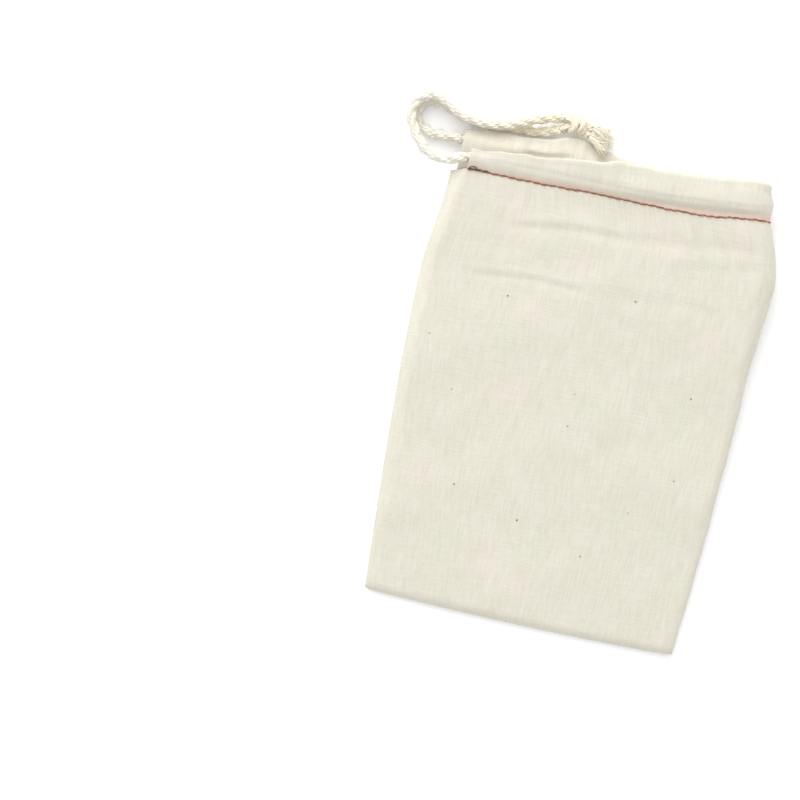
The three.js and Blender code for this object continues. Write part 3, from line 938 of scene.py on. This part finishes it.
def overlock(name, edge, inwards):
    """Looped threads round a raw edge. edge is its line, and inwards the direction across the allowance."""
    line = even(edge, THREAD_STEP)
    at = np.arange(len(line)) * THREAD_STEP
    turn = 2 * math.pi * at / 2.4
    reach = 1.5
    inwards = np.asarray(inwards, float)[None]
    loops = line + inwards * (reach * (1 - np.cos(turn)) - 0.35)[:, None]
    loops[:, 2] += 0.63 * np.sin(turn)
    chain = line + inwards * (2 * reach - 0.4)
    chain[:, 2] += 0.55
    chain[:, :2] += 0.12 * np.stack([np.sin(turn * 2), np.cos(turn * 2)], axis=1)
    return make_tubes(name, [loops, chain], [0.13, 0.15], 5)


def left_allowance_lines():
    """The inner and the outer edge of the left seam's allowance."""
    low, high = corners_mm("left_seam_allowance")
    y = np.linspace(low[1], high[1], 60)
    side = lean(y) - half_width(y)
    outer = np.stack([side + ALLOWANCE_INSET, y, 0 * y + low[2]], axis=1)
    inner = outer + (ALLOWANCE_WIDTH, 0, 0)
    return inner, outer


def bottom_allowance_lines():
    """The inner and the outer edge of the bottom seam's allowance."""
    low, high = corners_mm("bottom_seam_allowance")
    x = np.linspace(low[0], high[0], 60)
    edge = BAG_BOTTOM + BOTTOM_BOW * (x / half_width(np.full_like(x, BAG_BOTTOM))) ** 2
    outer = np.stack([x, edge + ALLOWANCE_INSET, 0 * x + low[2]], axis=1)
    inner = outer + (0, ALLOWANCE_WIDTH, 0)
    return inner, outer


sewn_from, sewn_to = front_end - 0.4, back_end + 0.4
front_stitches = lockstitches("hem_stitches_front", sewn_from, 0.1, 1, 51)
back_stitches = lockstitches("hem_stitches_back", -0.1, sewn_to, 1, 52)
inner_stitches = lockstitches("hem_stitches_inside", sewn_from, sewn_to, -1, 53)
for stitches in (front_stitches, back_stitches, inner_stitches):
    dress(stitches, RED_THREAD)
start_stitches = dress(backstitches(), DARK_THREAD)

left_inner, left_outer = left_allowance_lines()
bottom_inner, bottom_outer = bottom_allowance_lines()
left_strip = dress(allowance("left_allowance", left_inner, left_outer), SEAM_MUSLIN)
bottom_strip = dress(allowance("bottom_allowance", bottom_inner, bottom_outer), SEAM_MUSLIN)
lift = np.array([0, 0, CLOTH])
left_loops = overlock("left_overlock", left_inner + lift, (-1, 0, 0))
bottom_loops = overlock("bottom_overlock", bottom_inner + lift, (0, -1, 0))
for loops in (left_loops, bottom_loops):
    dress(loops, NATURAL_THREAD)


# ---- knot and frayed ends ----

TIP_RADIUS = 1.45               # of a frayed end, before its yarns spread


def build_knot():
    """Both cords go through the middle, and one wraps round them and tucks under itself."""
    centre = middle_mm("drawstring_knot")
    front_in, back_in = whole_line[0], whole_line[-1]
    front_out = tip_ends("drawstring_front_tip", False)[0]
    back_out = tip_ends("drawstring_back_tip", True)[0]
    through = [
        np.array([front_in + (0.3, 0, 0), centre + (-2.6, 1.0, 0.3), centre + (0.6, 0.2, 0.1), front_out]),
        np.array([back_in + (0.3, 0, 0), centre + (-2.4, -0.9, -0.4), centre + (0.8, -0.8, -0.4), back_out]),
    ]
    lines = [even(catmull_rom(points, 0.3), ROPE_STEP) for points in through]
    turn = np.linspace(-0.35 * math.pi, 3.55 * math.pi, 150)
    share = np.linspace(0, 1, 150)
    wrap = np.stack([
        centre[0] - 2.35 + 4.7 * share + 0.9 * np.sin(turn + 0.4),
        centre[1] + (2.25 - 0.3 * np.abs(2 * share - 1)) * np.cos(turn),
        centre[2] + (1.75 - 0.2 * np.abs(2 * share - 1)) * np.sin(turn),
    ], axis=1)
    strands = []
    for line, squeeze in ((lines[0], 0.75), (lines[1], 0.75), (even(wrap, ROPE_STEP), 0.82)):
        strands += plies(line, squeeze=squeeze)
    return make_tubes("cord_knot", strands, [PLY_RADIUS * 0.92] * len(strands), 9)


def tip_ends(node, climbs):
    """Start and end of a frayed end, from its CAD solid's box. It leans down the bag, and climbs or sinks."""
    low, high = corners_mm(node)
    inset = TIP_RADIUS * np.array([0.6, 1, 1])
    low, high = low + inset, high - inset
    start, end = np.array([low[0], high[1], low[2]]), np.array([high[0], low[1], high[2]])
    if not climbs:
        start[2], end[2] = high[2], low[2]
    return start, end


def frayed_end(name, node, climbs, fan, seed):
    """The cord's yarns come apart beyond the knot: soft strands that spread, bend and thin out."""
    rng = np.random.default_rng(seed)
    start, end = tip_ends(node, climbs)
    share = np.linspace(0, 1, 12)[:, None]
    lines, radii = [], []
    for k in range(130):
        thick = k < 48
        angle, spread = rng.uniform(0, 2 * math.pi), math.sqrt(rng.uniform(0, 1))
        ring = np.array([0, math.cos(angle), math.sin(angle)])
        reach = (end - start) * rng.uniform(0.72, 1.04) * (1 if thick else rng.uniform(0.8, 1.08))
        sway = np.array([rng.normal(0, 0.4), rng.normal(0, 0.9), rng.normal(0, 0.3)])
        open_out = ring * (0.95 * spread + 1.9 * spread * share ** 1.5)
        line = start + reach * share + open_out + np.array([0, fan, -0.25]) * share ** 1.6
        line += sway * np.sin(share * math.pi * rng.uniform(0.8, 2.2)) * share * 0.6
        line[:, 2] = np.maximum(line[:, 2], 0.15 + 0.25 * rng.uniform())
        lines.append(line)
        radii.append((0.24 if thick else 0.09) * (1 - 0.55 * share[:, 0]) * rng.uniform(0.8, 1.15))
    return make_tubes(name, lines, radii, 6)


knot = dress(build_knot(), CORD)
front_tip = frayed_end("frayed_front_tip", "drawstring_front_tip", False, 0.2, 81)
back_tip = frayed_end("frayed_back_tip", "drawstring_back_tip", True, -0.6, 83)
for tip in (front_tip, back_tip):
    dress(tip, FRAYED_CORD)


# ---- bits of seed husk ----

def build_husks():
    """Small dark flecks that lie in the weave of the front."""
    upper = body_surface[body_columns() > QUARTER_TURN].reshape(-1, 3)
    rng = np.random.default_rng(91)
    lines, radii = [], []
    for x, y, size in HUSKS:
        nearest = upper[np.argmin((upper[:, 0] - x) ** 2 + (upper[:, 1] - y) ** 2)]
        angle = rng.uniform(0, math.pi)
        half = np.array([math.cos(angle), math.sin(angle), 0.0]) * size * 0.8
        steps = np.linspace(-1, 1, 7)[:, None]
        lines.append(np.array([x, y, nearest[2] + 0.06]) + half * steps)
        radii.append(size * 0.55 * np.sqrt(1.02 - steps[:, 0] ** 2))
    return make_tubes("seed_husks", lines, radii, 7)


husks = dress(build_husks(), HUSK)


# ---- floor and light ----

def add_stage():
    mesh = bpy.data.meshes.new("floor")
    reach = 2.0
    mesh.from_pydata([(-reach, -reach, 0), (reach, -reach, 0), (reach, reach, 0), (-reach, reach, 0)], [],
                     [(0, 1, 2, 3)])
    floor = bpy.data.objects.new("floor", mesh)
    bpy.context.scene.collection.objects.link(floor)
    shader = Shader("pale_floor")
    shader.finish(srgb(250, 250, 251), roughness=0.9, sheen=0.0)
    shader.surface.inputs["Emission Color"].default_value = (1.0, 1.0, 1.0, 1.0)
    shader.surface.inputs["Emission Strength"].default_value = 0.14
    floor.data.materials.append(shader.material)


def add_light(name, place, aim, size, power):
    data = bpy.data.lights.new(name, "AREA")
    data.shape = "DISK"
    data.size = size
    data.energy = power
    light = bpy.data.objects.new(name, data)
    bpy.context.scene.collection.objects.link(light)
    light.location = place
    light.rotation_euler = (Vector(aim) - Vector(place)).to_track_quat("-Z", "Y").to_euler()


def add_world(strength):
    world = bpy.data.worlds.new("studio")
    world.use_nodes = True
    background = world.node_tree.nodes["Background"]
    background.inputs["Color"].default_value = (1.0, 1.0, 1.0, 1.0)
    background.inputs["Strength"].default_value = strength
    bpy.context.scene.world = world


add_stage()
add_world(0.78)
add_light("key_softbox", (-0.36, 0.80, 0.66), (0, 0, 0), 1.0, 8.0)
bpy.context.scene.view_settings.view_transform = "Standard"


# ---- how the pieces move ----


def gather(obj):
    """Bakes a piece's place into its mesh, leaving it with no transform."""
    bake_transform(obj)


for piece in (hem, front_stitches, back_stitches, inner_stitches, start_stitches):
    gather(piece)
for piece in (body, husks):
    gather(piece)
for piece in (left_strip, bottom_strip, left_loops, bottom_loops):
    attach(piece, "bag")
for piece in (knot, front_tip, back_tip):
    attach(piece, "drawstring")

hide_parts("front_panel", "back_panel")
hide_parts("front_casing", "back_casing", "fold_casing")
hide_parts("front_hem_stitching")
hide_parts("back_hem_stitching")
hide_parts("left_seam_allowance")
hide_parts("bottom_seam_allowance")
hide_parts("left_seam_overlock")
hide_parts("bottom_seam_overlock")
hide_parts("drawstring_knot")
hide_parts("drawstring_front_tip")
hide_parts("drawstring_back_tip")
